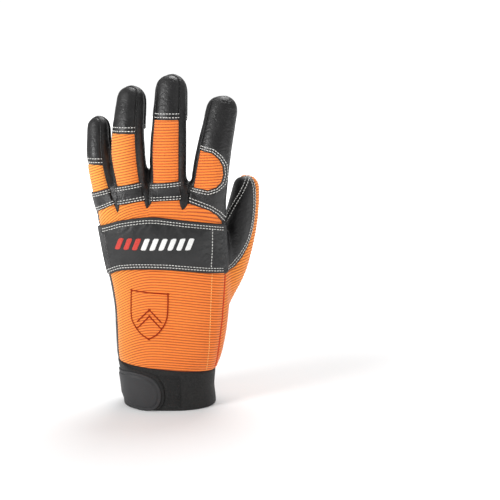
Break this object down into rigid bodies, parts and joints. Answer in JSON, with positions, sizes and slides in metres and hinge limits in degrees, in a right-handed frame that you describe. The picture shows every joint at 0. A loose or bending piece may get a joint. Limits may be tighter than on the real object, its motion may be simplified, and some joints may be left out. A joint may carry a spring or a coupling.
{
  "type": "chainsaw work glove",
  "caption": "left-hand work glove with a ribbed orange knit back, black leather palm and fingers, knuckle guard, padded palm patches and a hook-and-loop cuff, standing open at the wrist",
  "frame": {"origin": "centre of the cuff's mouth, where the wrist goes in, at the mouth's lower edge", "axes": "+Z from the wrist to the fingertips, -Y out of the back of the hand, +X towards the thumb"},
  "size_m": [0.1345, 0.0619, 0.2553],
  "materials": {
    "orange_knit": "ribbed stretch knit",
    "black_leather": "fine grain, soft sheen",
    "patch_leather": "padded, soft sheen",
    "cuff_elastic": "matt neoprene with a fabric face",
    "tab_rubber": "matt moulded",
    "hook_tape": "short loop pile",
    "white_thread": "twisted thread",
    "red_thread": "embroidery thread",
    "trim_print": "raised trim, red and white"
  },
  "bodies": {
    "root": {"knit_back": "orange_knit", "index_window": "orange_knit", "side_gusset": "orange_knit", "palm": "black_leather", "index_cover": "black_leather", "pinky_cap": "black_leather", "ring_cap": "black_leather", "middle_cap": "black_leather", "pinky_thumb_side": "black_leather", "ring_little_side": "black_leather", "ring_thumb_side": "black_leather", "middle_little_side": "black_leather", "middle_thumb_side": "black_leather", "index_little_side": "black_leather", "thumb_front": "black_leather", "thumb_inner": "black_leather", "pinky_strip": "black_leather", "ring_strip": "black_leather", "middle_strip": "black_leather", "knuckle_guard": "patch_leather", "upper_palm_patch": "patch_leather", "middle_palm_patch": "patch_leather", "lower_palm_patch": "patch_leather", "pinky_tip_pad": "patch_leather", "ring_tip_pad": "patch_leather", "middle_tip_pad": "patch_leather", "cuff": "cuff_elastic", "closure_band": "cuff_elastic", "closure_tab": "tab_rubber", "hook_patch": "hook_tape"}
  },
  "joints": []
}
